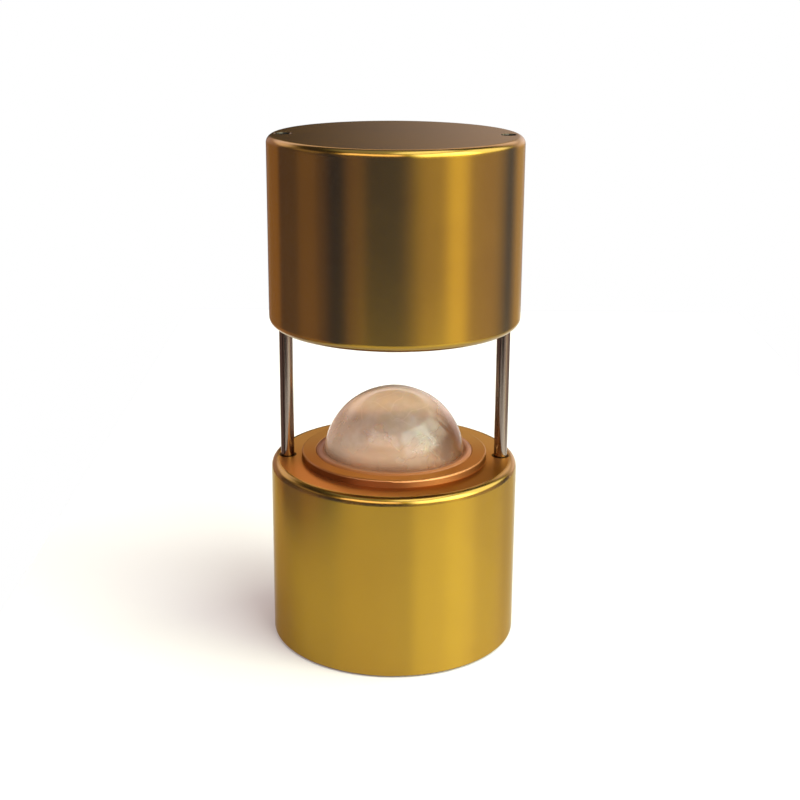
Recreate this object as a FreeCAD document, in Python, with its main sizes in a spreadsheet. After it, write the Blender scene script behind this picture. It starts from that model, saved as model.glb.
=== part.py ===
import FreeCAD, Part
import Sketcher
import os

# Ice ball press: two turned aluminium blocks with half of a ball mould in each face. The upper block slides down
# two steel guide rods that stand in the lower block. Millimetres, +Z up. The origin is on the floor, on the axis of
# the blocks. The upper block is drawn raised, with a finished ice ball lying in the lower mould.

DRIVING_SIZES = (
    ("cavity_diameter", 70.0, "ball mould, one half in each block"),
    ("boss_rim", 6.5, "flat rim of the raised boss round the cavity"),
    ("boss_height", 3.2, "how far the boss stands out of the ring"),
    ("boss_round", 0.8, "rounded edge of the boss"),
    ("cavity_chamfer", 0.4, "broken edge of the cavity"),
    ("ring_width", 13.5, "flat ring from the boss to the side of the block"),
    ("block_height", 81.6, "flat end of a block to its ring"),
    ("edge_round", 3.3, "rounded edges of the blocks that show"),
    ("foot_round", 1.0, "rounded edge that the press stands on"),
    ("open_engagement", 25.0, "rod tip above the ring of the raised upper block"),
    ("closed_gap", 0.2, "boss to boss with the press closed"),
    ("melt_back", 6.5, "how much smaller than its mould the ice ball is"),
    ("seat_gap", 0.15, "ice ball to the bottom of its mould"),
    ("rod_diameter", 6.0, "guide rod"),
    ("rod_inset", 7.0, "rod axis to the side of the block"),
    ("rod_tip_setback", 0.6, "rod tip below the top face of the closed press"),
    ("rod_tip_lead", 1.5, "length of the rod's tapered tip"),
    ("rod_tip_taper", 0.8, "how much the tip narrows on each side"),
    ("rod_end_chamfer", 0.5, "broken edge of the rod's lower end"),
    ("rod_seat_play", 0.02, "rod to the wall of its seat"),
    ("rod_web", 6.0, "metal between the rod's seat and the screw's counterbore"),
    ("counterbore_depth", 6.0, "recess for the rod screw in the underside"),
    ("counterbore_play", 0.6, "screw head to the wall of its counterbore"),
    ("screw_diameter", 3.0, "rod screw, M3"),
    ("screw_length", 16.0, "rod screw under its head"),
    ("screw_head_diameter", 5.5, "socket head"),
    ("screw_head_height", 3.0, "socket head"),
    ("screw_tip_chamfer", 0.4, "broken end of the screw"),
    ("screw_play", 0.2, "screw to the wall of its clearance hole"),
    ("thread_play", 0.02, "screw to the wall of its tapped hole"),
    ("thread_runout", 2.0, "tapped hole beyond the end of the screw"),
    ("socket_across_corners", 2.9, "hexagon socket"),
    ("socket_depth", 1.6, "hexagon socket"),
    ("washer_thickness", 0.7, "spring washer"),
    ("washer_width", 1.3, "spring washer, from its hole to its rim"),
    ("washer_play", 0.1, "screw to the hole of its washer"),
    ("washer_sweep", 348.0, "degrees of the split spring washer"),
    ("bush_length", 20.0, "guide bush in the upper block"),
    ("bush_wall", 1.45, "guide bush"),
    ("bush_setback", 0.3, "lower end of the bush above the ring"),
    ("bush_lead", 0.4, "chamfer at the mouth of the bush"),
    ("bush_fit", 0.02, "bush to the wall of its seat"),
    ("running_fit", 0.05, "rod to the wall of its bush"),
    ("grip_ring_play", 0.03, "rubber grip ring to its bush and shoulder"),
    ("bore_play", 0.4, "rod to the wall of the bore above the bush"),
    ("bore_chamfer", 0.5, "broken edge of the bore in the top face"),
    ("base_ring_margin", 2.0, "screw counterbore to the groove of the rubber ring"),
    ("base_ring_width", 6.0, "rubber ring in the underside"),
    ("base_ring_depth", 1.6, "groove for the rubber ring"),
    ("base_ring_proud", 0.4, "rubber ring below the underside"),
    ("base_ring_play", 0.1, "rubber ring to the walls of its groove"),
    ("base_ring_chamfer", 0.3, "broken lower edges of the rubber ring"),
)

DERIVED_SIZES = (
    ("cavity_radius", "cavity_diameter / 2"),
    ("boss_radius", "cavity_radius + boss_rim"),
    ("block_radius", "boss_radius + ring_width"),
    ("boss_top", "block_height + boss_height"),
    ("ice_radius", "(cavity_diameter - melt_back) / 2"),
    ("ice_centre_height", "base_ring_proud + boss_top - cavity_radius + seat_gap + ice_radius"),
    ("closed_top_height", "base_ring_proud + boss_top + closed_gap + boss_top"),
    ("rod_tip_height", "closed_top_height - rod_tip_setback"),
    ("upper_ring_height", "rod_tip_height - open_engagement"),
    ("upper_top_height", "upper_ring_height + block_height"),
    ("rod_radius", "rod_diameter / 2"),
    ("rod_axis", "block_radius - rod_inset"),
    ("rod_floor", "counterbore_depth + rod_web"),
    ("rod_foot_height", "base_ring_proud + rod_floor"),
    ("rod_length", "rod_tip_height - rod_foot_height"),
    ("rod_tip_radius", "rod_radius - rod_tip_taper"),
    ("rod_tip_start", "rod_length - rod_tip_lead"),
    ("rod_foot_radius", "rod_radius - rod_end_chamfer"),
    ("rod_seat_diameter", "rod_diameter + 2 * rod_seat_play"),
    ("screw_radius", "screw_diameter / 2"),
    ("screw_head_radius", "screw_head_diameter / 2"),
    ("screw_tip_radius", "screw_radius - screw_tip_chamfer"),
    ("screw_end", "screw_head_height + screw_length"),
    ("screw_tip_start", "screw_end - screw_tip_chamfer"),
    ("screw_foot_height", "base_ring_proud + counterbore_depth - washer_thickness - screw_head_height"),
    ("screw_hole_diameter", "screw_diameter + 2 * screw_play"),
    ("counterbore_diameter", "max(screw_head_diameter; 2 * washer_outer_radius) + 2 * counterbore_play"),
    ("tapped_radius", "screw_radius + thread_play"),
    ("tapped_depth", "screw_length - washer_thickness - rod_web + thread_runout"),
    ("washer_inner_radius", "screw_radius + washer_play"),
    ("washer_outer_radius", "washer_inner_radius + washer_width"),
    ("washer_height", "screw_foot_height + screw_head_height"),
    ("bush_inner_radius", "rod_radius + running_fit"),
    ("bush_outer_radius", "bush_inner_radius + bush_wall"),
    ("bush_mouth_radius", "bush_inner_radius + bush_lead"),
    ("bush_seat_diameter", "2 * (bush_outer_radius + bush_fit)"),
    ("grip_ring_thickness", "(bush_wall + bush_fit) / 2 - grip_ring_play / 2"),
    ("grip_ring_middle", "bush_inner_radius + grip_ring_thickness"),
    ("bush_seat_depth", "bush_setback + bush_length + 2 * grip_ring_thickness + 2 * grip_ring_play"),
    ("bush_shoulder", "block_height - bush_seat_depth"),
    ("bush_foot_height", "upper_ring_height + bush_setback"),
    ("grip_ring_height", "bush_foot_height + bush_length + grip_ring_play + grip_ring_thickness"),
    ("bore_diameter", "rod_diameter + 2 * bore_play"),
    ("base_groove_outer", "rod_axis - counterbore_diameter / 2 - base_ring_margin"),
    ("base_groove_inner", "base_groove_outer - base_ring_width"),
    ("base_ring_outer", "base_groove_outer - base_ring_play"),
    ("base_ring_inner", "base_groove_inner + base_ring_play"),
    ("base_ring_foot_outer", "base_ring_outer - base_ring_chamfer"),
    ("base_ring_foot_inner", "base_ring_inner + base_ring_chamfer"),
    ("base_ring_height", "base_ring_depth + base_ring_proud"),
)

TOUCH = 0.001
ORIGIN = (-1, 1)
HORIZONTAL_AXIS = -1
VERTICAL_AXIS = -2
START, END, CENTRE = 1, 2, 3

doc = FreeCAD.newDocument("IceBallPress")
sheet = doc.addObject("Spreadsheet::Sheet", "Sizes")


def fill_sheet():
    rows = [(name, str(value), note) for name, value, note in DRIVING_SIZES]
    rows += [(name, "=" + rule, "worked out") for name, rule in DERIVED_SIZES]
    for number, (name, content, note) in enumerate(rows, 1):
        sheet.set(f"A{number}", name)
        sheet.set(f"C{number}", note)
        sheet.setAlias(f"B{number}", name)
    for number, (name, content, note) in enumerate(rows, 1):
        sheet.set(f"B{number}", content)
    doc.recompute()


def size(name):
    return float(sheet.get(name))


def tie(target, prop, name, sign=""):
    target.setExpression(prop, f"{sign}{sheet.Name}.{name}")


def new_body(label):
    body = doc.addObject("PartDesign::Body", label)
    body.Label = label
    return body


def new_sketch(body, name, plane="XZ_Plane", height=None):
    """A sketch on one of the body's own origin planes, lifted to a named height where one is given."""
    sketch = body.newObject("Sketcher::SketchObject", name)
    sketch.AttachmentSupport = [(item, "") for item in body.Origin.OriginFeatures if item.Role == plane]
    sketch.MapMode = "FlatFace"
    if height:
        tie(sketch, "AttachmentOffset.Base.z", height)
    return sketch


def constrain(sketch, *terms):
    return sketch.addConstraint(Sketcher.Constraint(*terms))


def bind(sketch, name, *terms):
    """Add a dimension and tie it to a named size."""
    number = constrain(sketch, *terms, size(name))
    tie(sketch, f"Constraints[{number}]", name)


def place_point(sketch, item, point, across, up):
    """Fix a sketch point by two named sizes; None puts it on the axis."""
    if across is None:
        constrain(sketch, "PointOnObject", item, point, VERTICAL_AXIS)
    else:
        bind(sketch, across, "DistanceX", *ORIGIN, item, point)
    if up is None:
        constrain(sketch, "PointOnObject", item, point, HORIZONTAL_AXIS)
    else:
        bind(sketch, up, "DistanceY", *ORIGIN, item, point)


def draw_outline(sketch, corners):
    """A closed outline through corners that are each two named sizes."""
    points = [FreeCAD.Vector(size(x) if x else 0, size(y) if y else 0, 0) for x, y in corners]
    for start, end in zip(points, points[1:] + points[:1]):
        sketch.addGeometry(Part.LineSegment(start, end))
    for number, (across, up) in enumerate(corners):
        constrain(sketch, "Coincident", number, START, (number - 1) % len(corners), END)
        place_point(sketch, number, START, across, up)


def draw_circle(sketch, across, diameter):
    """A circle on the horizontal axis."""
    centre = FreeCAD.Vector(size(across), 0, 0)
    sketch.addGeometry(Part.Circle(centre, FreeCAD.Vector(0, 0, 1), size(diameter) / 2))
    place_point(sketch, 0, CENTRE, across, None)
    bind(sketch, diameter, "Diameter", 0)


def turn(body, name, corners, cut=False):
    """Revolve an outline about the body's axis, as new metal or as a cut."""
    sketch = new_sketch(body, f"{name}_outline")
    draw_outline(sketch, corners)
    return revolve(body, name, sketch, cut)


def revolve(body, name, sketch, cut=False):
    feature = body.newObject("PartDesign::Groove" if cut else "PartDesign::Revolution", name)
    feature.Profile = sketch
    feature.ReferenceAxis = (sketch, ["V_Axis"])
    sketch.Visibility = False
    return finish(body, feature, cut)


def bore_up(body, name, across, diameter, height=None):
    """A round hole that runs up from a named height and out of the top."""
    sketch = new_sketch(body, f"{name}_outline", "XY_Plane", height)
    draw_circle(sketch, across, diameter)
    feature = body.newObject("PartDesign::Pocket", name)
    feature.Profile = sketch
    feature.Type = "ThroughAll"
    feature.Reversed = True
    return finish(body, feature, cut=True)


def finish(body, feature, cut):
    """Recompute, and make sure that a cut took metal away."""
    doc.recompute()
    before = feature.BaseFeature.Shape.Volume if feature.BaseFeature else 0
    removed = before - feature.Shape.Volume
    if cut != (removed > 0):
        raise RuntimeError(f"{body.Label}: {feature.Label} changed the volume by {-removed:.1f}")
    return feature


def edges_at(shape, radius, height):
    """Names of the round edges with this radius at this height."""
    names = []
    for number, edge in enumerate(shape.Edges, 1):
        if edge.Degenerated or not isinstance(edge.Curve, Part.Circle):
            continue
        curve = edge.Curve
        if abs(curve.Radius - radius) < TOUCH and abs(curve.Center.z - height) < TOUCH:
            names.append(f"Edge{number}")
    return names


def soften(body, name, kind, amount, radius, height):
    """Round or chamfer the round edges at one place."""
    base = body.Tip
    edges = edges_at(base.Shape, radius, height)
    if not edges:
        raise RuntimeError(f"{body.Label}: no edge for {name}")
    feature = body.newObject(f"PartDesign::{kind}", name)
    feature.Base = (base, edges)
    tie(feature, "Radius" if kind == "Fillet" else "Size", amount)
    doc.recompute()
    return feature


def mirror_to_left(body, features):
    mirror = body.newObject("PartDesign::Mirrored", "left_side")
    mirror.Originals = features
    plane = [item for item in body.Origin.OriginFeatures if item.Role == "YZ_Plane"][0]
    mirror.MirrorPlane = (plane, [""])
    body.Tip = mirror
    return finish(body, mirror, cut=True)


def draw_quarter_ball(sketch):
    """A quarter of the ball's circle, with its centre on the axis in the plane of the boss."""
    centre = FreeCAD.Vector(0, size("boss_top"), 0)
    rim = centre + FreeCAD.Vector(size("cavity_radius"), 0, 0)
    pole = centre - FreeCAD.Vector(0, size("cavity_radius"), 0)
    middle = centre + FreeCAD.Vector(1, -1, 0).normalize() * size("cavity_radius")
    sketch.addGeometry(Part.LineSegment(centre, rim))
    sketch.addGeometry(Part.Arc(pole, middle, rim))
    sketch.addGeometry(Part.LineSegment(pole, centre))
    constrain(sketch, "Coincident", 0, START, 2, END)
    constrain(sketch, "Coincident", 0, END, 1, END)
    constrain(sketch, "Coincident", 1, START, 2, START)
    constrain(sketch, "Coincident", 1, CENTRE, 0, START)
    constrain(sketch, "Horizontal", 0)
    constrain(sketch, "PointOnObject", 2, START, VERTICAL_AXIS)
    place_point(sketch, 0, START, None, "boss_top")
    bind(sketch, "cavity_radius", "Radius", 1)


def mould_block(label, flat_end_round):
    """Either block, standing on its flat end with the boss and the cavity on top."""
    body = new_body(label)
    turn(body, "blank", (
        (None, None),
        ("block_radius", None),
        ("block_radius", "block_height"),
        ("boss_radius", "block_height"),
        ("boss_radius", "boss_top"),
        (None, "boss_top"),
    ))
    soften(body, "ring_edge", "Fillet", "edge_round", size("block_radius"), size("block_height"))
    soften(body, "flat_end_edge", "Fillet", flat_end_round, size("block_radius"), 0)
    soften(body, "boss_edge", "Fillet", "boss_round", size("boss_radius"), size("boss_top"))
    sketch = new_sketch(body, "cavity_outline")
    draw_quarter_ball(sketch)
    revolve(body, "cavity", sketch, cut=True)
    soften(body, "cavity_edge", "Chamfer", "cavity_chamfer", size("cavity_radius"), size("boss_top"))
    return body


def lower_mould():
    """The block that stands on the worktop: seats for the rods, screw holes and the groove for the rubber ring."""
    body = mould_block("lower_mould", "foot_round")
    tie(body, "Placement.Base.z", "base_ring_proud")
    turn(body, "base_ring_groove", (
        ("base_groove_inner", None),
        ("base_groove_outer", None),
        ("base_groove_outer", "base_ring_depth"),
        ("base_groove_inner", "base_ring_depth"),
    ), cut=True)
    seat = bore_up(body, "rod_seat", "rod_axis", "rod_seat_diameter", "rod_floor")
    sketch = new_sketch(body, "screw_hole_outline", "XY_Plane")
    draw_circle(sketch, "rod_axis", "screw_hole_diameter")
    doc.recompute()
    hole = body.newObject("PartDesign::Hole", "screw_hole")
    hole.Profile = sketch
    hole.Reversed = True
    hole.DepthType = "Dimension"
    hole.DrillPoint = "Flat"
    hole.HoleCutType = "Counterbore"
    hole.HoleCutCustomValues = True
    tie(hole, "Diameter", "screw_hole_diameter")
    tie(hole, "Depth", "rod_floor")
    tie(hole, "HoleCutDiameter", "counterbore_diameter")
    tie(hole, "HoleCutDepth", "counterbore_depth")
    finish(body, hole, cut=True)
    mirror_to_left(body, [seat, hole])
    return body


def upper_mould():
    """The same block upside down, with bores for the rods that run right through it."""
    body = mould_block("upper_mould", "edge_round")
    bore = bore_up(body, "rod_bore", "rod_axis", "bore_diameter")
    seat = bore_up(body, "bush_seat", "rod_axis", "bush_seat_diameter", "bush_shoulder")
    mirror_to_left(body, [bore, seat])
    soften(body, "bore_mouths", "Chamfer", "bore_chamfer", size("bore_diameter") / 2, 0)
    body.Placement.Rotation = FreeCAD.Rotation(FreeCAD.Vector(1, 0, 0), 180)
    tie(body, "Placement.Base.z", "upper_top_height")
    return body


def put_beside(item, sign, height):
    """Put a piece on the left or right rod's axis."""
    tie(item, "Placement.Base.x", "rod_axis", sign)
    tie(item, "Placement.Base.z", height)
    return item


def guide_rod(side, sign):
    """A plain ground rod with a tapered tip, tapped at its lower end."""
    body = new_body(f"guide_rod_{side}")
    turn(body, "rod", (
        ("tapped_radius", None),
        ("rod_foot_radius", None),
        ("rod_radius", "rod_end_chamfer"),
        ("rod_radius", "rod_tip_start"),
        ("rod_tip_radius", "rod_length"),
        (None, "rod_length"),
        (None, "tapped_depth"),
        ("tapped_radius", "tapped_depth"),
    ))
    return put_beside(body, sign, "rod_foot_height")


def rod_screw(side, sign):
    """A socket-head screw, head down, from the underside into the rod."""
    body = new_body(f"rod_screw_{side}")
    turn(body, "head_and_shank", (
        (None, None),
        ("screw_head_radius", None),
        ("screw_head_radius", "screw_head_height"),
        ("screw_radius", "screw_head_height"),
        ("screw_radius", "screw_tip_start"),
        ("screw_tip_radius", "screw_end"),
        (None, "screw_end"),
    ))
    sketch = new_sketch(body, "socket_outline", "XY_Plane")
    draw_hexagon(sketch, "socket_across_corners")
    socket = body.newObject("PartDesign::Pocket", "socket")
    socket.Profile = sketch
    socket.Reversed = True
    tie(socket, "Length", "socket_depth")
    finish(body, socket, cut=True)
    return put_beside(body, sign, "screw_foot_height")


def draw_hexagon(sketch, across_corners):
    """A regular hexagon about the origin, in a circle through its corners."""
    sides = 6
    circle = sides
    radius = size(across_corners) / 2
    turn_by = FreeCAD.Rotation(FreeCAD.Vector(0, 0, 1), 360 / sides)
    corner = FreeCAD.Vector(radius, 0, 0)
    for _ in range(sides):
        following = turn_by.multVec(corner)
        sketch.addGeometry(Part.LineSegment(corner, following))
        corner = following
    sketch.addGeometry(Part.Circle(FreeCAD.Vector(), FreeCAD.Vector(0, 0, 1), radius), True)
    for number in range(sides):
        constrain(sketch, "Coincident", number, END, (number + 1) % sides, START)
        constrain(sketch, "PointOnObject", number, START, circle)
        if number:
            constrain(sketch, "Equal", 0, number)
    constrain(sketch, "Coincident", circle, CENTRE, *ORIGIN)
    constrain(sketch, "PointOnObject", 0, START, HORIZONTAL_AXIS)
    bind(sketch, across_corners, "Diameter", circle)


def rod_washer(side, sign):
    """A split spring washer between the screw's head and the roof of the counterbore."""
    body = new_body(f"rod_washer_{side}")
    washer = turn(body, "split_ring", (
        ("washer_inner_radius", None),
        ("washer_outer_radius", None),
        ("washer_outer_radius", "washer_thickness"),
        ("washer_inner_radius", "washer_thickness"),
    ))
    tie(washer, "Angle", "washer_sweep")
    return put_beside(body, sign, "washer_height")


def guide_bush(side, sign):
    """A plain bush pressed into the upper block from below, with a chamfered mouth."""
    body = new_body(f"guide_bush_{side}")
    turn(body, "sleeve", (
        ("bush_mouth_radius", None),
        ("bush_outer_radius", None),
        ("bush_outer_radius", "bush_length"),
        ("bush_inner_radius", "bush_length"),
        ("bush_inner_radius", "bush_lead"),
    ))
    return put_beside(body, sign, "bush_foot_height")


def grip_ring(side, sign):
    """A rubber ring held between the bush and the shoulder of its seat. It drags on the rod."""
    ring = doc.addObject("Part::Torus", f"grip_ring_{side}")
    ring.Label = f"grip_ring_{side}"
    tie(ring, "Radius1", "grip_ring_middle")
    tie(ring, "Radius2", "grip_ring_thickness")
    return put_beside(ring, sign, "grip_ring_height")


def base_ring():
    """The non-slip rubber ring that the press stands on."""
    body = new_body("base_ring")
    turn(body, "ring", (
        ("base_ring_foot_inner", None),
        ("base_ring_foot_outer", None),
        ("base_ring_outer", "base_ring_chamfer"),
        ("base_ring_outer", "base_ring_height"),
        ("base_ring_inner", "base_ring_height"),
        ("base_ring_inner", "base_ring_chamfer"),
    ))
    return body


def ice_ball():
    """The finished ball, a little melted, so it lies at the bottom of its mould."""
    ball = doc.addObject("Part::Sphere", "ice_ball")
    ball.Label = "ice_ball"
    tie(ball, "Radius", "ice_radius")
    tie(ball, "Placement.Base.z", "ice_centre_height")
    return ball


def build():
    fill_sheet()
    pieces = [lower_mould(), upper_mould(), base_ring(), ice_ball()]
    for side, sign in (("left", "-"), ("right", "")):
        for make in (guide_rod, rod_screw, rod_washer, guide_bush, grip_ring):
            pieces.append(make(side, sign))
    doc.recompute()
    return pieces


def check(pieces):
    for item in doc.Objects:
        if "Invalid" in item.State or "Error" in item.State:
            raise RuntimeError(f"{item.Label} failed: {item.State}")
    for piece in pieces:
        if piece.Shape.isNull() or not piece.Shape.isValid() or len(piece.Shape.Solids) != 1:
            raise RuntimeError(f"{piece.Label} is not one valid solid")


def export(pieces):
    os.makedirs("parts", exist_ok=True)
    for piece in pieces:
        piece.Shape.exportStep(f"parts/{piece.Label}.step")
        box = piece.Shape.BoundBox
        print(f"{piece.Label}: {piece.Shape.Volume / 1000:.2f} cm3, z {box.ZMin:.2f} to {box.ZMax:.2f}")


pieces = build()
check(pieces)
export(pieces)
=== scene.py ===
import math

import bmesh
import bpy
from mathutils import Matrix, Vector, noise


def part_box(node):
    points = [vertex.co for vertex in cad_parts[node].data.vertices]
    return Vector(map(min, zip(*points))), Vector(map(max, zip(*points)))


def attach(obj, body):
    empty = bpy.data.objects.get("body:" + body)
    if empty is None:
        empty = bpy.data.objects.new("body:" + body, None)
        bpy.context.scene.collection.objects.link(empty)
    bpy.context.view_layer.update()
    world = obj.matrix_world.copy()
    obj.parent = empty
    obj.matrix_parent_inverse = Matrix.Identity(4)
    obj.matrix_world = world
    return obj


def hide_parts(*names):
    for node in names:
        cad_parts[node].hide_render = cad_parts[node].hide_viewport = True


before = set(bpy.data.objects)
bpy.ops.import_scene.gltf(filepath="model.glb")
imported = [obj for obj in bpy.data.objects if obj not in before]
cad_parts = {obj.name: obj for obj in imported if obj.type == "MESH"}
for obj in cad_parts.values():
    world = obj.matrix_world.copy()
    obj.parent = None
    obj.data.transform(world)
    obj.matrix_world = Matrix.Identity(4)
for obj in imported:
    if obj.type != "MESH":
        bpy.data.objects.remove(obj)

# An ice ball press of gold anodised aluminium on a white floor. Lengths are metres and +Z is up.
# Angles are degrees. Azimuths start at the photograph's camera side (-Y) and grow towards +X.
# A pair of places, depths, heights or shares says where a change begins and where it is complete.

MM = 0.001

# The camera of the photograph, fitted to the outlines of the two blocks
CAMERA_PLACE = (2.38 * MM, -594.99 * MM, 295.95 * MM)
CAMERA_PITCH = -15.606
CAMERA_ROLL = 0.375
CAMERA_LENS = 62.80
CAMERA_SENSOR = 36.0
CAMERA_SHIFT_DOWN = 47 / 800

# White floor, a sheet whose left and front edges lie just outside the photograph
FLOOR_LEFT = -0.185
FLOOR_RIGHT = 0.30
FLOOR_FRONT = -0.37
FLOOR_BACK = 0.60
FLOOR_COLOUR = (0.84, 0.832, 0.855)
FLOOR_LIFT = (0.06, 0.06, 0.07)
MATT_ROUGHNESS = 0.9
MATT_GLEAM = 0.0
SATIN_ROUGHNESS = 0.25
SATIN_GLEAM = 0.5
WHITE = (1.0, 1.0, 1.0)

# What surrounds the press: a dim warm room with soft lights. A light is
# (name, azimuth, half width, side softness, lowest, highest, end softness, strength, colour)
ROOM_COLOUR = (1.0, 0.75, 0.70)
ROOM_LEVEL = 0.04
KEY = (1.0, 1.06, 0.96)
YELLOW = (1.0, 1.25, 0.60)
SIDE = (1.0, 1.05, 0.82)
STRAW = (1.0, 0.98, 0.48)
PALE = (1.0, 0.80, 0.74)
WARM = (1.0, 0.74, 0.62)
ORANGE = (1.0, 0.62, 0.50)
LIGHTS = (
    ("key_softbox", 50, 24, 14, 16, 54, 6, 4.7, KEY),
    ("key_core", 60, 4, 10, 16, 54, 6, 2.2, YELLOW),
    ("side_softbox", 98, 20, 14, 16, 56, 6, 2.8, SIDE),
    ("key_low", 57, 3, 14, -40, 14, 6, 0.66, STRAW),
    ("right_low", 82, 14, 32, -40, 14, 8, 0.64, WARM),
    ("front_low", 37, 4, 34, -40, 14, 8, 0.54, WARM),
    ("front_strip", -24, 27, 8, 30, 52, 5, 3.6, PALE),
    ("brown_band", -35, 3, 12, -40, 14, 8, 0.22, ORANGE),
    ("left_wall", -92, 24, 12, -40, 14, 8, 0.13, ORANGE),
    ("left_mid", -84, 7, 8, -40, 14, 8, 0.14, ORANGE),
    ("left_window", -90, 14, 10, 20, 34, 6, 0.5, WARM),
    ("left_shade", -115, 40, 20, -50, -22, 5, 0.35, ORANGE),
    ("left_back", -145, 16, 8, -40, 20, 8, 0.50, ORANGE),
    ("right_back", 150, 6, 24, -40, 20, 8, 0.90, PALE),
    ("back_glow", 158, 16, 12, -4, 12, 4, 0.46, PALE),
    ("behind", -170, 35, 28, 19, 36, 5, 1.45, PALE),
    ("overhead", 75, 66, 20, 62, 90, 6, 2.3, KEY),
    ("ceiling", 0, 180, 1, 60, 90, 6, 0.5, KEY),
)

# Turned metals. A finish is (colour, deeper colour, roughness, anisotropy, rings per metre, ring depth)
STEEL = (0.26, 0.215, 0.185)
SCREW_STEEL = (0.42, 0.42, 0.43)
BRASS = (0.62, 0.44, 0.20)
GOLD = (0.372, 0.216, 0.009)
GOLD_DEEP = (0.345, 0.196, 0.008)
GOLD_ROUGHNESS = 0.22
ROD_FINISH = (STEEL, STEEL, 0.17, 0.4, 5000.0, 0.0008 * MM)
SCREW_FINISH = (SCREW_STEEL, SCREW_STEEL, 0.35, 0.3, 3000.0, 0.002 * MM)
BUSH_FINISH = (BRASS, BRASS, 0.3, 0.5, 4000.0, 0.002 * MM)
GOLD_FINISH = (GOLD, GOLD_DEEP, GOLD_ROUGHNESS, 0.0, 6000.0, 0.0012 * MM)
RADIUS_WEIGHT = 1.31
METAL_CLOUDS = 22.0
METAL_CLOUD_SHARES = (0.35, 0.65)
ROUGHNESS_SPREAD = 0.06
NOISE_MIDDLE = 0.5
QUARTER_TURN = 0.25

# Gold on sides, edges and flats. Flatness is 0 on an upright wall and 1 on a level face.
GOLD_EDGE = (0.68, 0.55, 0.29)
GOLD_ANISOTROPY = 0.85
SIDE_FLATNESSES = (0.6, 0.05)
LEVEL_FLATNESSES = (0.93, 0.995)
HAZE_TINT = (0.46, 0.59, 0.72)
HAZE_ROUGHNESS = 0.9
HAZE_ON_SIDES = 0.085
HAZE_ON_FLATS = 0.01
COAT_ROUGHNESS = 0.12
COAT_IOR = 1.6
COAT_ON_EDGES = 0.8
COAT_ON_FLATS = 0.4
COAT_ON_SIDES = 0.06
COAT_INSIDE = 0.05
# Painted shade: faces turned downwards get this share of the gold's colour
UNDERSIDE_PAINTED_SHADE_SLOPES = (-0.05, -0.45)
UNDERSIDE_PAINTED_SHADE = 0.65

# Gold on the moulds' inner faces, redder as painted reflection of the moulds mirroring each other and the wet
# ice, redder in front than at the back
GOLD_INNER_PAINTED_REFLECTION_FRONT = (0.50, 0.21, 0.07)
GOLD_INNER_PAINTED_REFLECTION_BACK = (0.60, 0.35, 0.13)
INNER_PAINTED_REFLECTION_DEPTHS = (-20 * MM, 20 * MM)
INNER_ROUGHNESS = 0.48
RING_ROUGHNESS = 0.41
FACE_RADIUS = 51.7 * MM
FACE_SOFTNESS = 0.4 * MM
INNER_LOWEST = 79 * MM
INNER_HIGHEST = 150 * MM
INNER_SOFTNESS = 2 * MM
BOSS_RADIUS = 41.5 * MM
BOSS_SOFTNESS = 1 * MM
# Painted shade on the boss's wall; in front, painted reflection at the ring's left and painted shade at its
# right
BOSS_WALL_PAINTED_SHADE = 0.72
RING_LEFT_PAINTED_REFLECTION = 1.5
RING_RIGHT_PAINTED_SHADE = 0.55
RING_PAINTED_LIGHT_PLACES = (-40 * MM, 40 * MM)
RING_PAINTED_LIGHT_DEPTHS = (0.0, -20 * MM)
ROD_OFFSET = 48 * MM
BORE_RADIUS = 3.4 * MM
# Painted shade down the bores that the rods run in
BORE_PAINTED_SHADE_DISTANCES = (BORE_RADIUS + 0.3 * MM, BORE_RADIUS + 0.8 * MM)
BORE_PAINTED_SHADE = 0.07

# Rubber
RUBBER = (0.03, 0.03, 0.03)
RUBBER_WORN = (0.06, 0.06, 0.06)
RUBBER_ROUGHNESS = 0.75
RUBBER_GRAIN = 900.0
RUBBER_GRAIN_SHARES = (0.3, 0.7)
RUBBER_GRAIN_STRENGTH = 0.5
RUBBER_GRAIN_DEPTH = 0.05 * MM

# Ice
ICE_TINT = (1.0, 0.92, 0.80)
ICE_PALE = (1.0, 0.97, 0.87)
# Painted reflection of the gold seen through the ice, as amber
ICE_PAINTED_AMBER = (0.66, 0.34, 0.17)
ICE_SCATTER = (1.0, 0.8, 0.6)
ICE_SCATTER_SCALE = 18 * MM
ICE_ROUGHNESS = 0.20
ICE_IOR = 1.14
ICE_COAT_ROUGHNESS = 0.08
ICE_COAT_IOR = 1.42
# Painted shade: the ice's coat is thinned to this at its right edge, which darkens that side
ICE_RIGHT_COAT_PAINTED_SHADE = 0.25
ICE_COAT_PAINTED_SHADE_PLACES = (22 * MM, 30 * MM)
ICE_CLOUDS = 75.0
ICE_CLOUD_SHARES = (0.3, 0.7)
ICE_CLEARNESS = 0.94
ICE_MILK = 0.15
ICE_MILK_SHARES = (0.35, 0.8)
ICE_CROWN_MILK = 0.10
ICE_CROWN_HEIGHTS = (98 * MM, 112 * MM)
# Where the painted amber goes: the ball's foot, and its right side below the top, also as painted shade
ICE_FOOT_PAINTED_AMBER = 0.8
ICE_PAINTED_AMBER_FOOT_HEIGHTS = (91.5 * MM, 85.5 * MM)
ICE_PAINTED_AMBER_RIGHT_PLACES = (10 * MM, 30 * MM)
ICE_PAINTED_AMBER_RIGHT_HEIGHTS = (114 * MM, 98 * MM)
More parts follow.
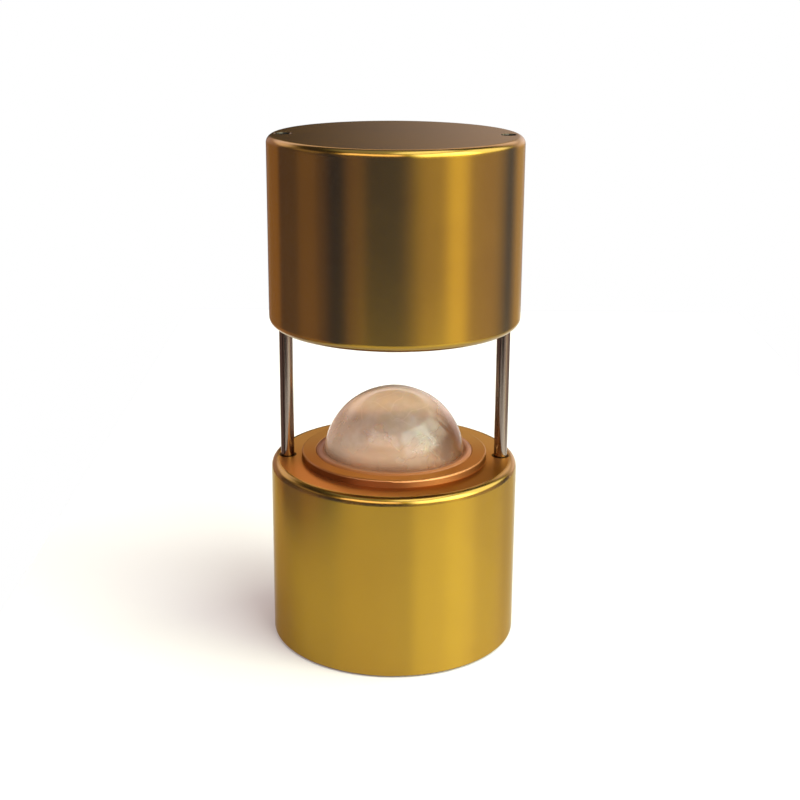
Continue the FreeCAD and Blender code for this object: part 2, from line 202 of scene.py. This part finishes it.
# Painted glow: the ice emits light, more of it low down and less at the right
ICE_PAINTED_GLOW = (1.0, 0.74, 0.52)
ICE_PAINTED_GLOW_LOW = 0.27
ICE_PAINTED_GLOW_HIGH = 0.09
ICE_PAINTED_GLOW_HEIGHTS = (92 * MM, 110 * MM)
ICE_PAINTED_GLOW_RIGHT_LOSS = 0.45
ICE_PAINTED_GLOW_PLACES = (-10 * MM, 25 * MM)
ICE_DENTS = 90.0
ICE_DENT_STRENGTH = 0.5
ICE_DENT_DEPTH = 0.18 * MM

# Cracks in the ice
CRACK_WANDER = 60.0
CRACK_SHIFT = 8 * MM
CRACK_CELLS = 70.0
CRACK_DISTANCES = (0.03, 0.0)
CRACK_PATCHES = 45.0
CRACK_PATCH_SHARES = (0.48, 0.62)
CRACK_MILK = 0.04
CRACK_RELIEF = 0.05

# Ice ball
ICE_WAVINESS = 0.12 * MM
ICE_WAVES = 90.0
ICE_SUBDIVISIONS = 6

# Meltwater round the ball
# Painted reflection: the water's colour is the gold beneath and around it
WATER_PAINTED_GOLD = (0.42, 0.155, 0.05)
WATER_ROUGHNESS = 0.3
WATER_IOR = 1.33
WATER_CLEARNESS = 0.22
WATER_RIPPLES = 300.0
WATER_RIPPLE_STRENGTH = 0.3
WATER_RIPPLE_DEPTH = 0.1 * MM
CAVITY_RADIUS = 35 * MM
WATER_DEPTH = 6 * MM
WATER_RISE = 0.5 * MM
WATER_SKIN = 0.05 * MM
WATER_STEPS = 8
WATER_SEGMENTS = 128


def new_material(name):
    """A material, its nodes and its Principled shader."""
    material = bpy.data.materials.new(name)
    material.use_nodes = True
    tree = material.node_tree
    return material, tree, tree.nodes["Principled BSDF"]


def add_node(tree, kind, **settings):
    """Adds a shader node. Settings whose name is a property's set that property, and the rest set inputs."""
    node = tree.nodes.new(kind)
    for key, value in settings.items():
        if hasattr(node, key):
            setattr(node, key, value)
        else:
            node.inputs[key.replace("_", " ")].default_value = value
    return node


def math_node(tree, operation, *terms):
    """A Math node over sockets and plain numbers."""
    node = add_node(tree, "ShaderNodeMath", operation=operation)
    for socket, term in zip(node.inputs, terms):
        if isinstance(term, (int, float)):
            socket.default_value = term
        else:
            tree.links.new(term, socket)
    return node.outputs[0]


def soft_step(tree, value, start, end):
    """Goes smoothly from 0 at start to 1 at end. The end may be the lower of the two."""
    node = add_node(tree, "ShaderNodeMapRange", interpolation_type="SMOOTHSTEP")
    tree.links.new(value, node.inputs["Value"])
    limits = (start, end, 0.0, 1.0) if start < end else (end, start, 1.0, 0.0)
    for key, number in zip(("From Min", "From Max", "To Min", "To Max"), limits):
        node.inputs[key].default_value = number
    return node.outputs["Result"]


def between(tree, share, start, end):
    """A number that goes from start to end as share goes from 0 to 1."""
    return math_node(tree, "MULTIPLY_ADD", share, end - start, start)


def length_of(tree, x, y):
    """The length of a flat vector."""
    squares = [math_node(tree, "MULTIPLY", part, part) for part in (x, y)]
    return math_node(tree, "SQRT", math_node(tree, "ADD", *squares))


def split(tree, vector):
    """The x, y and z of a vector."""
    parts = add_node(tree, "ShaderNodeSeparateXYZ")
    tree.links.new(vector, parts.inputs[0])
    return parts.outputs


def place_on_press(tree):
    """Where a point is on the press, as one vector."""
    return add_node(tree, "ShaderNodeTexCoord").outputs["Object"]


def blend_colours(tree, share, colour_low, colour_high):
    """A mix of two colours, each a socket or plain numbers."""
    node = add_node(tree, "ShaderNodeMix", data_type="RGBA")
    tree.links.new(share, node.inputs["Factor"])
    for socket, colour in ((node.inputs[6], colour_low), (node.inputs[7], colour_high)):
        if isinstance(colour, tuple):
            socket.default_value = (*colour, 1.0)
        else:
            tree.links.new(colour, socket)
    return node.outputs[2]


def blotches(tree, place, scale, detail=4.0):
    """Soft noise from 0 to 1."""
    node = add_node(tree, "ShaderNodeTexNoise", Scale=scale, Detail=detail)
    tree.links.new(place, node.inputs["Vector"])
    return node.outputs["Fac"]


def add_relief(tree, bsdf, height, strength, depth):
    """Gives the shader a bumpy surface."""
    bump = add_node(tree, "ShaderNodeBump", Strength=strength, Distance=depth)
    tree.links.new(height, bump.inputs["Height"])
    tree.links.new(bump.outputs[0], bsdf.inputs["Normal"])


def make_camera():
    """The photograph's camera, shifted down as its picture is."""
    data = bpy.data.cameras.new("camera")
    data.lens = CAMERA_LENS
    data.sensor_width = CAMERA_SENSOR
    data.shift_y = -CAMERA_SHIFT_DOWN
    camera = bpy.data.objects.new("camera", data)
    tilt = Matrix.Rotation(math.radians(90 + CAMERA_PITCH), 4, "X")
    roll = Matrix.Rotation(math.radians(CAMERA_ROLL), 4, "Z")
    camera.matrix_world = Matrix.Translation(CAMERA_PLACE) @ tilt @ roll
    bpy.context.scene.collection.objects.link(camera)
    bpy.context.scene.camera = camera


def degrees_aside(tree, x, y, level_length, azimuth):
    """Degrees between a direction and an azimuth, seen from above."""
    turned = math.radians(azimuth)
    across = math_node(tree, "MULTIPLY", x, math.sin(turned))
    towards = math_node(tree, "MULTIPLY", y, -math.cos(turned))
    cosine = math_node(tree, "DIVIDE", math_node(tree, "ADD", across, towards), level_length)
    return math_node(tree, "DEGREES", math_node(tree, "ARCCOSINE", cosine))


def light_patch(tree, x, y, level_length, elevation, light):
    """The colour of one soft light in the surroundings."""
    azimuth, half, soft, lowest, highest, end_soft, strength, colour = light[1:]
    aside = degrees_aside(tree, x, y, level_length, azimuth)
    side = soft_step(tree, aside, half + soft, half)
    bottom = soft_step(tree, elevation, lowest - end_soft, lowest + end_soft)
    top = soft_step(tree, elevation, highest + end_soft, highest - end_soft)
    patch = math_node(tree, "MULTIPLY", side, bottom)
    level = math_node(tree, "MULTIPLY", patch, math_node(tree, "MULTIPLY", top, strength))
    tint = add_node(tree, "ShaderNodeVectorMath", operation="SCALE")
    tint.inputs[0].default_value = colour
    tree.links.new(level, tint.inputs["Scale"])
    return tint.outputs[0]


def room_light(tree):
    """The colour of the dim room and all its soft lights."""
    x, y, z = split(tree, add_node(tree, "ShaderNodeTexCoord").outputs["Generated"])
    level_length = length_of(tree, x, y)
    elevation = math_node(tree, "DEGREES", math_node(tree, "ARCTAN2", z, level_length))
    total = None
    for light in LIGHTS:
        add = add_node(tree, "ShaderNodeVectorMath", operation="ADD")
        tree.links.new(light_patch(tree, x, y, level_length, elevation, light), add.inputs[0])
        if total is None:
            add.inputs[1].default_value = [part * ROOM_LEVEL for part in ROOM_COLOUR]
        else:
            tree.links.new(total, add.inputs[1])
        total = add.outputs[0]
    return total


def make_surroundings():
    """Plain white for the eye and through the ice, and the soft lights of a dim room for the rest."""
    world = bpy.data.worlds.new("studio")
    bpy.context.scene.world = world
    world.use_nodes = True
    tree = world.node_tree
    tree.nodes.clear()
    room = add_node(tree, "ShaderNodeBackground")
    tree.links.new(room_light(tree), room.inputs["Color"])
    white = add_node(tree, "ShaderNodeBackground", Color=(*WHITE, 1.0), Strength=1.0)
    path = add_node(tree, "ShaderNodeLightPath")
    plain = math_node(tree, "MAXIMUM", path.outputs["Is Camera Ray"], path.outputs["Is Transmission Ray"])
    mix = add_node(tree, "ShaderNodeMixShader")
    tree.links.new(plain, mix.inputs[0])
    tree.links.new(room.outputs[0], mix.inputs[1])
    tree.links.new(white.outputs[0], mix.inputs[2])
    output = add_node(tree, "ShaderNodeOutputWorld")
    tree.links.new(mix.outputs[0], output.inputs[0])


def floor_material():
    """White card that reads as plain white and keeps a soft warm shadow. It gleams where metal mirrors it."""
    material, tree, matt = new_material("floor")
    satin = add_node(tree, "ShaderNodeBsdfPrincipled")
    for bsdf, roughness, gleam in ((matt, MATT_ROUGHNESS, MATT_GLEAM), (satin, SATIN_ROUGHNESS, SATIN_GLEAM)):
        bsdf.inputs["Base Color"].default_value = (*FLOOR_COLOUR, 1.0)
        bsdf.inputs["Roughness"].default_value = roughness
        bsdf.inputs["Specular IOR Level"].default_value = gleam
    path = add_node(tree, "ShaderNodeLightPath")
    card = add_node(tree, "ShaderNodeMixShader")
    tree.links.new(path.outputs["Is Glossy Ray"], card.inputs[0])
    tree.links.new(matt.outputs[0], card.inputs[1])
    tree.links.new(satin.outputs[0], card.inputs[2])
    seen = math_node(tree, "MAXIMUM", path.outputs["Is Camera Ray"], path.outputs["Is Glossy Ray"])
    seen = math_node(tree, "MAXIMUM", seen, path.outputs["Is Transmission Ray"])
    lift = add_node(tree, "ShaderNodeEmission", Color=(*FLOOR_LIFT, 1.0))
    tree.links.new(seen, lift.inputs["Strength"])
    both = add_node(tree, "ShaderNodeAddShader")
    tree.links.new(card.outputs[0], both.inputs[0])
    tree.links.new(lift.outputs[0], both.inputs[1])
    tree.links.new(both.outputs[0], tree.nodes["Material Output"].inputs["Surface"])
    return material


def make_floor():
    """The sheet that the press stands on."""
    mesh = bpy.data.meshes.new("floor")
    corners = [
        (FLOOR_LEFT, FLOOR_FRONT, 0),
        (FLOOR_RIGHT, FLOOR_FRONT, 0),
        (FLOOR_RIGHT, FLOOR_BACK, 0),
        (FLOOR_LEFT, FLOOR_BACK, 0),
    ]
    mesh.from_pydata(corners, [], [(0, 1, 2, 3)])
    floor = bpy.data.objects.new("floor", mesh)
    bpy.context.scene.collection.objects.link(floor)
    mesh.materials.append(floor_material())


def ring_marks(tree, place, rings_per_metre):
    """Fine turned rings: noise along the profile, so that flat faces have rings as well as sides."""
    x, y, z = split(tree, place)
    radius = math_node(tree, "MULTIPLY", length_of(tree, x, y), RADIUS_WEIGHT)
    along = math_node(tree, "MULTIPLY", math_node(tree, "ADD", radius, z), rings_per_metre)
    node = add_node(tree, "ShaderNodeTexNoise", noise_dimensions="1D", Detail=3.0, Scale=1.0)
    tree.links.new(along, node.inputs["W"])
    return node.outputs["Fac"]


def spread_about(tree, value, spread):
    """Noise brought down to a small number that is 0 on average."""
    return math_node(tree, "MULTIPLY", math_node(tree, "SUBTRACT", value, NOISE_MIDDLE), spread)


def turned_metal(name, colour, colour_deep, roughness, anisotropy, rings_per_metre, ring_depth):
    """Metal turned on a lathe: fine rings, and highlights drawn out across them."""
    material, tree, bsdf = new_material(name)
    place = place_on_press(tree)
    marks = ring_marks(tree, place, rings_per_metre)
    cloud = blotches(tree, place, METAL_CLOUDS)
    share = soft_step(tree, cloud, *METAL_CLOUD_SHARES)
    tree.links.new(blend_colours(tree, share, colour_deep, colour), bsdf.inputs["Base Color"])
    bsdf.inputs["Metallic"].default_value = 1.0
    varied, smudged = [spread_about(tree, value, ROUGHNESS_SPREAD) for value in (marks, cloud)]
    rough = math_node(tree, "ADD", math_node(tree, "ADD", varied, smudged), roughness)
    tree.links.new(rough, bsdf.inputs["Roughness"])
    bsdf.inputs["Anisotropic"].default_value = anisotropy
    bsdf.inputs["Anisotropic Rotation"].default_value = QUARTER_TURN
    around = add_node(tree, "ShaderNodeVectorMath", operation="CROSS_PRODUCT")
    tree.links.new(add_node(tree, "ShaderNodeNewGeometry").outputs["Normal"], around.inputs[0])
    around.inputs[1].default_value = (0.0, 0.0, 1.0)
    tree.links.new(around.outputs[0], bsdf.inputs["Tangent"])
    add_relief(tree, bsdf, marks, 1.0, ring_depth)
    return material


def inner_face_share(tree):
    """1 on the moulds' inner faces, inside the rounded edges, and 0 elsewhere."""
    x, y, z = split(tree, place_on_press(tree))
    inside = soft_step(tree, length_of(tree, x, y), FACE_RADIUS + FACE_SOFTNESS, FACE_RADIUS - FACE_SOFTNESS)
    above = soft_step(tree, z, INNER_LOWEST, INNER_LOWEST + INNER_SOFTNESS)
    below = soft_step(tree, z, INNER_HIGHEST, INNER_HIGHEST - INNER_SOFTNESS)
    return math_node(tree, "MULTIPLY", inside, math_node(tree, "MULTIPLY", above, below))


def ring_share(tree):
    """0 on the boss and 1 on the ring around it."""
    x, y = split(tree, place_on_press(tree))[:2]
    return soft_step(tree, length_of(tree, x, y), BOSS_RADIUS, BOSS_RADIUS + BOSS_SOFTNESS)


def bore_painted_shade(tree):
    """1 on the blocks, and painted shade down the bores that the rods run in."""
    x, y = split(tree, place_on_press(tree))[:2]
    sideways = math_node(tree, "SUBTRACT", math_node(tree, "ABSOLUTE", x), ROD_OFFSET)
    outside = soft_step(tree, length_of(tree, sideways, y), *BORE_PAINTED_SHADE_DISTANCES)
    return math_node(tree, "MAXIMUM", outside, BORE_PAINTED_SHADE)


def painted_inner_light_and_shade(tree, inner, side):
    """Painted light and shade on the inner faces. In front the ring gets painted reflection, lightest at the
    left, and painted shade at the right. The boss's wall gets painted shade and is darker.
    """
    x, y = split(tree, place_on_press(tree))[:2]
    # Painted reflection and shade on the ring in front: lighter at the left, darker at the right
    in_front = soft_step(tree, y, *RING_PAINTED_LIGHT_DEPTHS)
    across = between(tree, soft_step(tree, x, *RING_PAINTED_LIGHT_PLACES), RING_LEFT_PAINTED_REFLECTION - 1, RING_RIGHT_PAINTED_SHADE - 1)
    ring = math_node(tree, "MULTIPLY", math_node(tree, "MULTIPLY", ring_share(tree), in_front), across)
    # Painted shade darkens the boss's wall
    change = math_node(tree, "MULTIPLY_ADD", side, BOSS_WALL_PAINTED_SHADE - 1, ring)
    return math_node(tree, "MULTIPLY_ADD", change, inner, 1.0)


def colour_gold(tree, bsdf, inner, side, slope):
    """Redder gold on the inner faces as painted reflection, and painted shade that gives less light in the
    bores and on undersides.
    """
    outer_colour = bsdf.inputs["Base Color"].links[0].from_socket
    # Painted reflection: the inner faces' colour, redder in front than at the back
    y = split(tree, place_on_press(tree))[1]
    painted_reflection_colour = blend_colours(
        tree, soft_step(tree, y, *INNER_PAINTED_REFLECTION_DEPTHS), GOLD_INNER_PAINTED_REFLECTION_FRONT, GOLD_INNER_PAINTED_REFLECTION_BACK
    )
    level = math_node(tree, "MULTIPLY", bore_painted_shade(tree), painted_inner_light_and_shade(tree, inner, side))
    # Painted shade on faces turned downwards
    underside_painted_shade = between(tree, soft_step(tree, slope, *UNDERSIDE_PAINTED_SHADE_SLOPES), 1.0, UNDERSIDE_PAINTED_SHADE)
    shaded = add_node(tree, "ShaderNodeVectorMath", operation="SCALE")
    tree.links.new(blend_colours(tree, inner, outer_colour, painted_reflection_colour), shaded.inputs[0])
    tree.links.new(math_node(tree, "MULTIPLY", level, underside_painted_shade), shaded.inputs["Scale"])
    tree.links.new(shaded.outputs[0], bsdf.inputs["Base Color"])
    bsdf.inputs["Specular Tint"].default_value = (*GOLD_EDGE, 1.0)


def roughen_gold(tree, bsdf, inner):
    """The inner faces are rougher than the rest, and the bosses are the roughest."""
    rough = bsdf.inputs["Roughness"].links[0].from_socket
    rougher = between(
        tree, ring_share(tree), INNER_ROUGHNESS - GOLD_ROUGHNESS, RING_ROUGHNESS - GOLD_ROUGHNESS
    )
    added = math_node(tree, "MULTIPLY", inner, rougher)
    tree.links.new(math_node(tree, "ADD", rough, added), bsdf.inputs["Roughness"])


def haze_gold(tree, bsdf, inner, side):
    """A thin bluish haze, mostly on the sides and not on the inner faces."""
    haze = between(tree, side, HAZE_ON_FLATS, HAZE_ON_SIDES)
    haze = math_node(tree, "MULTIPLY", haze, math_node(tree, "SUBTRACT", 1.0, inner))
    tree.links.new(haze, bsdf.inputs["Sheen Weight"])
    bsdf.inputs["Sheen Roughness"].default_value = HAZE_ROUGHNESS
    bsdf.inputs["Sheen Tint"].default_value = (*HAZE_TINT, 1.0)


def coat_gold(tree, bsdf, inner, side, flatness):
    """A clear coat: strong on the rounded edges, less on flats, and thin on sides and inner faces."""
    coat = between(tree, side, COAT_ON_EDGES, COAT_ON_SIDES)
    flat = soft_step(tree, flatness, *LEVEL_FLATNESSES)
    coat = math_node(tree, "ADD", coat, math_node(tree, "MULTIPLY", flat, COAT_ON_FLATS - COAT_ON_EDGES))
    coat = math_node(tree, "ADD", coat, math_node(tree, "MULTIPLY", inner, COAT_INSIDE - COAT_ON_FLATS))
    tree.links.new(math_node(tree, "MAXIMUM", coat, 0.0), bsdf.inputs["Coat Weight"])
    bsdf.inputs["Coat Roughness"].default_value = COAT_ROUGHNESS
    bsdf.inputs["Coat IOR"].default_value = COAT_IOR


def gold_material():
    """Anodised aluminium: turned sides that draw light out upwards, and smooth faces and edges that don't."""
    material = turned_metal("gold_anodised", *GOLD_FINISH)
    tree = material.node_tree
    bsdf = tree.nodes["Principled BSDF"]
    slope = split(tree, add_node(tree, "ShaderNodeTexCoord").outputs["Normal"])[2]
    flatness = math_node(tree, "ABSOLUTE", slope)
    side = soft_step(tree, flatness, *SIDE_FLATNESSES)
    inner = inner_face_share(tree)
    tree.links.new(math_node(tree, "MULTIPLY", side, GOLD_ANISOTROPY), bsdf.inputs["Anisotropic"])
    colour_gold(tree, bsdf, inner, side, slope)
    roughen_gold(tree, bsdf, inner)
    haze_gold(tree, bsdf, inner, side)
    coat_gold(tree, bsdf, inner, side, flatness)
    return material


def rubber_material():
    """Matt black rubber with a fine grain."""
    material, tree, bsdf = new_material("rubber")
    grain = blotches(tree, place_on_press(tree), RUBBER_GRAIN)
    share = soft_step(tree, grain, *RUBBER_GRAIN_SHARES)
    tree.links.new(blend_colours(tree, share, RUBBER, RUBBER_WORN), bsdf.inputs["Base Color"])
    bsdf.inputs["Roughness"].default_value = RUBBER_ROUGHNESS
    add_relief(tree, bsdf, grain, RUBBER_GRAIN_STRENGTH, RUBBER_GRAIN_DEPTH)
    return material


def ice_cracks(tree, place):
    """Fine cracks inside the ice: 1 along them and 0 between."""
    wander = add_node(tree, "ShaderNodeTexNoise", Scale=CRACK_WANDER, Detail=3.0)
    tree.links.new(place, wander.inputs["Vector"])
    shift = add_node(tree, "ShaderNodeVectorMath", operation="SCALE", Scale=CRACK_SHIFT)
    tree.links.new(wander.outputs["Color"], shift.inputs[0])
    bent = add_node(tree, "ShaderNodeVectorMath", operation="ADD")
    tree.links.new(place, bent.inputs[0])
    tree.links.new(shift.outputs[0], bent.inputs[1])
    cells = add_node(tree, "ShaderNodeTexVoronoi", feature="DISTANCE_TO_EDGE", Scale=CRACK_CELLS)
    tree.links.new(bent.outputs[0], cells.inputs["Vector"])
    line = soft_step(tree, cells.outputs["Distance"], *CRACK_DISTANCES)
    patchy = soft_step(tree, blotches(tree, place, CRACK_PATCHES, detail=1.0), *CRACK_PATCH_SHARES)
    return math_node(tree, "MULTIPLY", line, patchy)


def ice_painted_amber(tree, x, z):
    """How much painted reflection of the gold goes into the ice's colour as amber: at the ball's foot and its
    right side, which it also darkens as painted shade.
    """
    foot = math_node(tree, "MULTIPLY", soft_step(tree, z, *ICE_PAINTED_AMBER_FOOT_HEIGHTS), ICE_FOOT_PAINTED_AMBER)
    right = soft_step(tree, x, *ICE_PAINTED_AMBER_RIGHT_PLACES)
    right = math_node(tree, "MULTIPLY", right, soft_step(tree, z, *ICE_PAINTED_AMBER_RIGHT_HEIGHTS))
    return math_node(tree, "MAXIMUM", foot, right)


def painted_ice_glow(tree, x, z, painted_amber):
    """Painted glow that stands in for light the milky ice carries through itself: more of it low down and at
    the left.
    """
    glow = between(tree, soft_step(tree, z, *ICE_PAINTED_GLOW_HEIGHTS), ICE_PAINTED_GLOW_LOW, ICE_PAINTED_GLOW_HIGH)
    across = between(tree, soft_step(tree, x, *ICE_PAINTED_GLOW_PLACES), 1.0, 1.0 - ICE_PAINTED_GLOW_RIGHT_LOSS)
    clear = math_node(tree, "SUBTRACT", 1.0, painted_amber)
    return math_node(tree, "MULTIPLY", glow, math_node(tree, "MULTIPLY", across, clear))


def ice_clearness(tree, z, cloud, cracks):
    """How much light goes straight through: less in the clouds, in the crown and along the cracks."""
    milk = math_node(tree, "MULTIPLY", soft_step(tree, cloud, *ICE_MILK_SHARES), ICE_MILK)
    crown = math_node(tree, "MULTIPLY", soft_step(tree, z, *ICE_CROWN_HEIGHTS), ICE_CROWN_MILK)
    milk = math_node(tree, "ADD", milk, crown)
    cloudy = math_node(tree, "ADD", milk, math_node(tree, "MULTIPLY", cracks, CRACK_MILK))
    return math_node(tree, "SUBTRACT", ICE_CLEARNESS, cloudy)


def ice_material():
    """Clear ice with a cloudy, cracked inside and a wet skin. The gold showing through it is painted into its
    colour as amber, its right side gets painted shade, and a painted glow lights it.
    """
    material, tree, bsdf = new_material("ice")
    place = place_on_press(tree)
    x, _, z = split(tree, place)
    cloud = blotches(tree, place, ICE_CLOUDS, detail=6.0)
    cracks = ice_cracks(tree, place)
    # Painted reflection: the gold seen through the ice is mixed into its colour
    painted_amber = ice_painted_amber(tree, x, z)
    body = blend_colours(tree, soft_step(tree, cloud, *ICE_CLOUD_SHARES), ICE_TINT, ICE_PALE)
    # Painted shade: the coat is thinner at the right edge
    right_coat_painted_shade = between(tree, soft_step(tree, x, *ICE_COAT_PAINTED_SHADE_PLACES), 1.0, ICE_RIGHT_COAT_PAINTED_SHADE)
    tree.links.new(blend_colours(tree, painted_amber, body, ICE_PAINTED_AMBER), bsdf.inputs["Base Color"])
    tree.links.new(right_coat_painted_shade, bsdf.inputs["Coat Weight"])
    # Painted glow: emission on the ice
    tree.links.new(painted_ice_glow(tree, x, z, painted_amber), bsdf.inputs["Emission Strength"])
    tree.links.new(ice_clearness(tree, z, cloud, cracks), bsdf.inputs["Transmission Weight"])
    bsdf.inputs["Roughness"].default_value = ICE_ROUGHNESS
    bsdf.inputs["IOR"].default_value = ICE_IOR
    bsdf.inputs["Subsurface Weight"].default_value = 1.0
    bsdf.inputs["Subsurface Radius"].default_value = ICE_SCATTER
    bsdf.inputs["Subsurface Scale"].default_value = ICE_SCATTER_SCALE
    bsdf.inputs["Coat Roughness"].default_value = ICE_COAT_ROUGHNESS
    bsdf.inputs["Coat IOR"].default_value = ICE_COAT_IOR
    bsdf.inputs["Emission Color"].default_value = (*ICE_PAINTED_GLOW, 1.0)
    relief = math_node(tree, "MULTIPLY", cracks, CRACK_RELIEF)
    dents = math_node(tree, "ADD", blotches(tree, place, ICE_DENTS), relief)
    add_relief(tree, bsdf, dents, ICE_DENT_STRENGTH, ICE_DENT_DEPTH)
    return material


def water_material():
    """Meltwater whose colour is the gold beneath it, painted in as painted reflection, with small ripples."""
    material, tree, bsdf = new_material("meltwater")
    bsdf.inputs["Base Color"].default_value = (*WATER_PAINTED_GOLD, 1.0)
    bsdf.inputs["Roughness"].default_value = WATER_ROUGHNESS
    bsdf.inputs["IOR"].default_value = WATER_IOR
    bsdf.inputs["Transmission Weight"].default_value = WATER_CLEARNESS
    ripples = blotches(tree, place_on_press(tree), WATER_RIPPLES, detail=1.0)
    add_relief(tree, bsdf, ripples, WATER_RIPPLE_STRENGTH, WATER_RIPPLE_DEPTH)
    return material


def paint(material, *nodes):
    """Gives CAD nodes a material in place of their own."""
    for name in nodes:
        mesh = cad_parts[name].data
        mesh.materials.clear()
        mesh.materials.append(material)


def paint_nodes():
    """Gives every CAD node its material, but for the ball, which the melting ball replaces."""
    steel = turned_metal("ground_steel", *ROD_FINISH)
    screws = turned_metal("screw_steel", *SCREW_FINISH)
    brass = turned_metal("bush_brass", *BUSH_FINISH)
    rubber = rubber_material()
    paint(gold_material(), "lower_mould", "upper_mould")
    for side in ("left", "right"):
        paint(steel, f"guide_rod_{side}")
        paint(screws, f"rod_screw_{side}", f"rod_washer_{side}")
        paint(brass, f"guide_bush_{side}")
        paint(rubber, f"grip_ring_{side}")
    paint(rubber, "base_ring")


def add_piece(name, shape, material):
    """Turns a bmesh into a piece with smooth faces."""
    for face in shape.faces:
        face.smooth = True
    mesh = bpy.data.meshes.new(name)
    shape.to_mesh(mesh)
    shape.free()
    mesh.materials.append(material)
    piece = bpy.data.objects.new(name, mesh)
    bpy.context.scene.collection.objects.link(piece)
    return piece


def make_ice_ball():
    """The melting ball, a little wavy and nowhere larger than the CAD ball."""
    low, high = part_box("ice_ball")
    centre = (low + high) / 2
    radius = (high.z - low.z) / 2 - ICE_WAVINESS
    shape = bmesh.new()
    bmesh.ops.create_icosphere(shape, subdivisions=ICE_SUBDIVISIONS, radius=radius)
    for vertex in shape.verts:
        outward = vertex.co.normalized()
        vertex.co += outward * ICE_WAVINESS * noise.noise(vertex.co * ICE_WAVES)
        vertex.co += centre
    ball = add_piece("ice_ball_melting", shape, ice_material())
    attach(ball, "base")
    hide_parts("ice_ball")


def water_profile():
    """The meltwater's section as (radius, height): down the cavity's wall and up the ball."""
    low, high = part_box("ice_ball")
    ball_centre = (low + high) / 2
    ball_radius = (high.z - low.z) / 2
    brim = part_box("lower_mould")[1].z
    profile = []
    for step in range(WATER_STEPS + 1):
        z = brim - WATER_SKIN - WATER_DEPTH * step / WATER_STEPS
        profile.append((math.sqrt((CAVITY_RADIUS - WATER_SKIN) ** 2 - (brim - z) ** 2), z))
    for step in range(WATER_STEPS, -1, -1):
        z = brim + WATER_RISE - (WATER_DEPTH + WATER_RISE) * step / WATER_STEPS
        profile.append((math.sqrt((ball_radius + WATER_SKIN) ** 2 - (z - ball_centre.z) ** 2), z))
    return profile


def make_meltwater():
    """Water that fills the gap between the ball and the lower cavity, up to the brim."""
    profile = water_profile()
    shape = bmesh.new()
    rows = []
    for turn in range(WATER_SEGMENTS):
        angle = 2 * math.pi * turn / WATER_SEGMENTS
        rows.append([shape.verts.new((r * math.cos(angle), r * math.sin(angle), z)) for r, z in profile])
    for row, following in zip(rows, rows[1:] + rows[:1]):
        for index in range(len(profile)):
            after = (index + 1) % len(profile)
            shape.faces.new((row[index], following[index], following[after], row[after]))
    bmesh.ops.recalc_face_normals(shape, faces=shape.faces)
    water = add_piece("meltwater", shape, water_material())
    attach(water, "base")


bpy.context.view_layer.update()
bpy.context.scene.view_settings.view_transform = "Standard"
make_camera()
make_surroundings()
make_floor()
paint_nodes()
make_ice_ball()
make_meltwater()
